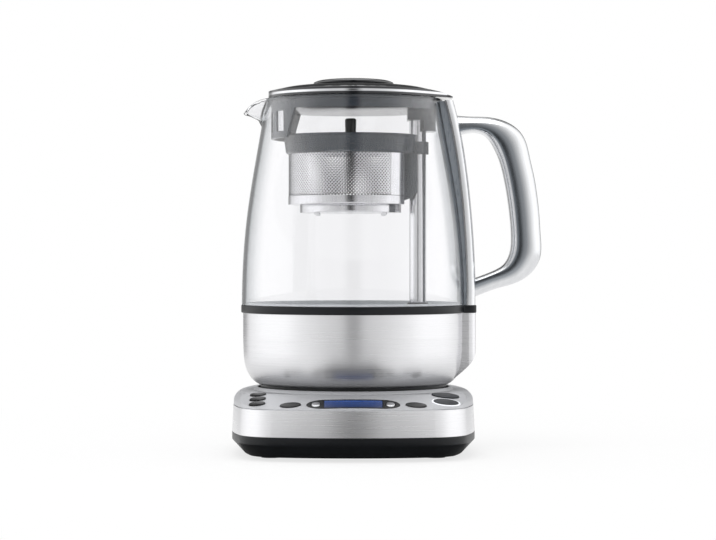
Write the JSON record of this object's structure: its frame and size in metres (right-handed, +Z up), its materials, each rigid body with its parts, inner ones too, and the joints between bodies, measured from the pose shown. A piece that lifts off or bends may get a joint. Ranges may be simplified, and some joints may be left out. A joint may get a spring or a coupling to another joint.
{
  "type": "automatic tea maker",
  "caption": "Cordless glass tea maker: power base with sloping control panel, glass jug on a steel bowl, and a motor-driven tea basket on a post.",
  "frame": {"origin": "on the counter, under the axis of the jug", "axes": "+X points from the jug's axis to the handle, -Y to the front with the control panel, +Z up"},
  "size_m": [0.2152, 0.1845, 0.2598],
  "materials": {
    "brushed_steel": "brushed stainless steel",
    "polished_steel": "polished stainless steel",
    "silver_plastic": "satin silver paint",
    "black_plastic": "fine matte",
    "slate_plastic": "satin slate grey",
    "dark_plastic": "glossy dark grey",
    "clear_glass": "clear borosilicate",
    "display_glass": "blue backlit display",
    "rubber_black": "matte",
    "silicone_grey": "matte",
    "circuit_board": "solder mask",
    "brass_contact": "plated",
    "zinc_screw": "zinc plated",
    "magnet_nickel": "nickel plated",
    "steel_mesh": "fine perforated sheet",
    "white_plastic": "acetal",
    "cast_aluminium": "cast"
  },
  "bodies": {
    "base": {"base_tray": "black_plastic", "feet": "rubber_black", "base_screws": "zinc_screw", "cord_gland": "rubber_black", "base_skirt": "brushed_steel", "top_panel": "silver_plastic", "display_bezel": "dark_plastic", "display_window": "display_glass", "display_module": "black_plastic", "large_button_ring": "polished_steel", "control_board": "circuit_board", "power_board": "circuit_board", "connector_socket": "black_plastic", "connector_contacts": "brass_contact"},
    "turntable": {"turning_ring": "black_plastic"},
    "jug": {"steel_bowl": "brushed_steel", "bowl_base": "black_plastic", "jug_coupler": "black_plastic", "coupler_contacts": "brass_contact", "coupler_screws": "zinc_screw", "band_seal": "slate_plastic", "heating_plate": "brushed_steel", "heating_element": "cast_aluminium", "thermostat": "black_plastic", "glass_jug": "clear_glass", "spine_rail": "slate_plastic", "spine_cover": "brushed_steel", "handle": "polished_steel", "lift_post": "polished_steel", "post_foot": "silicone_grey", "post_cap": "white_plastic", "gear_frame": "white_plastic", "lift_motor": "zinc_screw"},
    "lid": {"lid_dome": "dark_plastic", "lid_grip": "dark_plastic", "lid_plug": "slate_plastic", "spout_strainer": "steel_mesh", "lid_seal": "silicone_grey"},
    "basket": {"basket_collar": "slate_plastic", "basket_mesh": "steel_mesh", "basket_ring": "brushed_steel", "basket_cup": "brushed_steel", "basket_slider": "slate_plastic", "slider_magnets": "magnet_nickel"},
    "basket_cover": {"basket_lid": "brushed_steel", "basket_lid_knob": "black_plastic"},
    "shuttle": {"magnet_shuttle": "white_plastic", "shuttle_magnets": "magnet_nickel"},
    "screw": {"lead_screw": "polished_steel", "screw_gear": "white_plastic"},
    "pinion": {"motor_pinion": "white_plastic"},
    "arrow_button_left": {"arrow_button_left": "silver_plastic"},
    "arrow_button_right": {"arrow_button_right": "silver_plastic"},
    "select_button_left": {"select_button_left": "dark_plastic"},
    "select_button_right": {"select_button_right": "dark_plastic"},
    "large_button_front": {"large_button_front": "dark_plastic"},
    "large_button_rear": {"large_button_rear": "dark_plastic"},
    "preset_button_front": {"preset_button_front": "dark_plastic"},
    "preset_button_middle": {"preset_button_middle": "dark_plastic"},
    "preset_button_rear": {"preset_button_rear": "dark_plastic"}
  },
  "joints": [
    {"name": "jug_swivel", "type": "hinge", "parent": "base", "child": "turntable", "pos_m": [0, 0, 0.043], "axis": [0, 0, 1], "continuous": true},
    {"name": "jug_lift", "type": "slide", "parent": "turntable", "child": "jug", "axis": [0, 0, 1], "range_m": [0, 0.06]},
    {"name": "lid_lift", "type": "slide", "parent": "jug", "child": "lid", "axis": [0, 0, 1], "range_m": [0, 0.06]},
    {"name": "basket_lift", "type": "slide", "parent": "jug", "child": "basket", "axis": [0, 0, 1], "range_m": [-0.058, 0]},
    {"name": "basket_lid_lift", "type": "slide", "parent": "basket", "child": "basket_cover", "axis": [0, 0, 1], "range_m": [0, 0.004]},
    {"name": "shuttle_lift", "type": "slide", "parent": "jug", "child": "shuttle", "axis": [0, 0, 1], "range_m": [-0.0585, 0.0005]},
    {"name": "screw_spin", "type": "hinge", "parent": "jug", "child": "screw", "pos_m": [0.045, 0, 0.07], "axis": [0, 0, 1], "range_deg": [-2630, 20]},
    {"name": "motor_spin", "type": "hinge", "parent": "jug", "child": "pinion", "pos_m": [0.045, 0.018, 0.07], "axis": [0, 0, 1], "range_deg": [-40, 5260]},
    {"name": "arrow_press_left", "type": "slide", "parent": "base", "child": "arrow_button_left", "axis": [0, 0.309, -0.9511], "range_m": [0, 0.0008], "stiffness_N_per_m": 600, "springref_m": -0.0008},
    {"name": "arrow_press_right", "type": "slide", "parent": "base", "child": "arrow_button_right", "axis": [0, 0.309, -0.9511], "range_m": [0, 0.0008], "stiffness_N_per_m": 600, "springref_m": -0.0008},
    {"name": "select_press_left", "type": "slide", "parent": "base", "child": "select_button_left", "axis": [0, 0.309, -0.9511], "range_m": [0, 0.0008], "stiffness_N_per_m": 600, "springref_m": -0.0008},
    {"name": "select_press_right", "type": "slide", "parent": "base", "child": "select_button_right", "axis": [0, 0.309, -0.9511], "range_m": [0, 0.0008], "stiffness_N_per_m": 600, "springref_m": -0.0008},
    {"name": "large_press_front", "type": "slide", "parent": "base", "child": "large_button_front", "axis": [0, 0.309, -0.9511], "range_m": [0, 0.0008], "stiffness_N_per_m": 600, "springref_m": -0.0008},
    {"name": "large_press_rear", "type": "slide", "parent": "base", "child": "large_button_rear", "axis": [0, 0.309, -0.9511], "range_m": [0, 0.0008], "stiffness_N_per_m": 600, "springref_m": -0.0008},
    {"name": "preset_press_front", "type": "slide", "parent": "base", "child": "preset_button_front", "axis": [0, 0.309, -0.9511], "range_m": [0, 0.0008], "stiffness_N_per_m": 600, "springref_m": -0.0008},
    {"name": "preset_press_middle", "type": "slide", "parent": "base", "child": "preset_button_middle", "axis": [0, 0.309, -0.9511], "range_m": [0, 0.0008], "stiffness_N_per_m": 600, "springref_m": -0.0008},
    {"name": "preset_press_rear", "type": "slide", "parent": "base", "child": "preset_button_rear", "axis": [0, 0.309, -0.9511], "range_m": [0, 0.0008], "stiffness_N_per_m": 600, "springref_m": -0.0008}
  ],
  "couplings": [
    {"joint": "shuttle_lift", "follows": "basket_lift", "ratio": 1},
    {"joint": "screw_spin", "follows": "basket_lift", "rad_per_m": 785.4},
    {"joint": "motor_spin", "follows": "basket_lift", "rad_per_m": -1570.8}
  ]
}
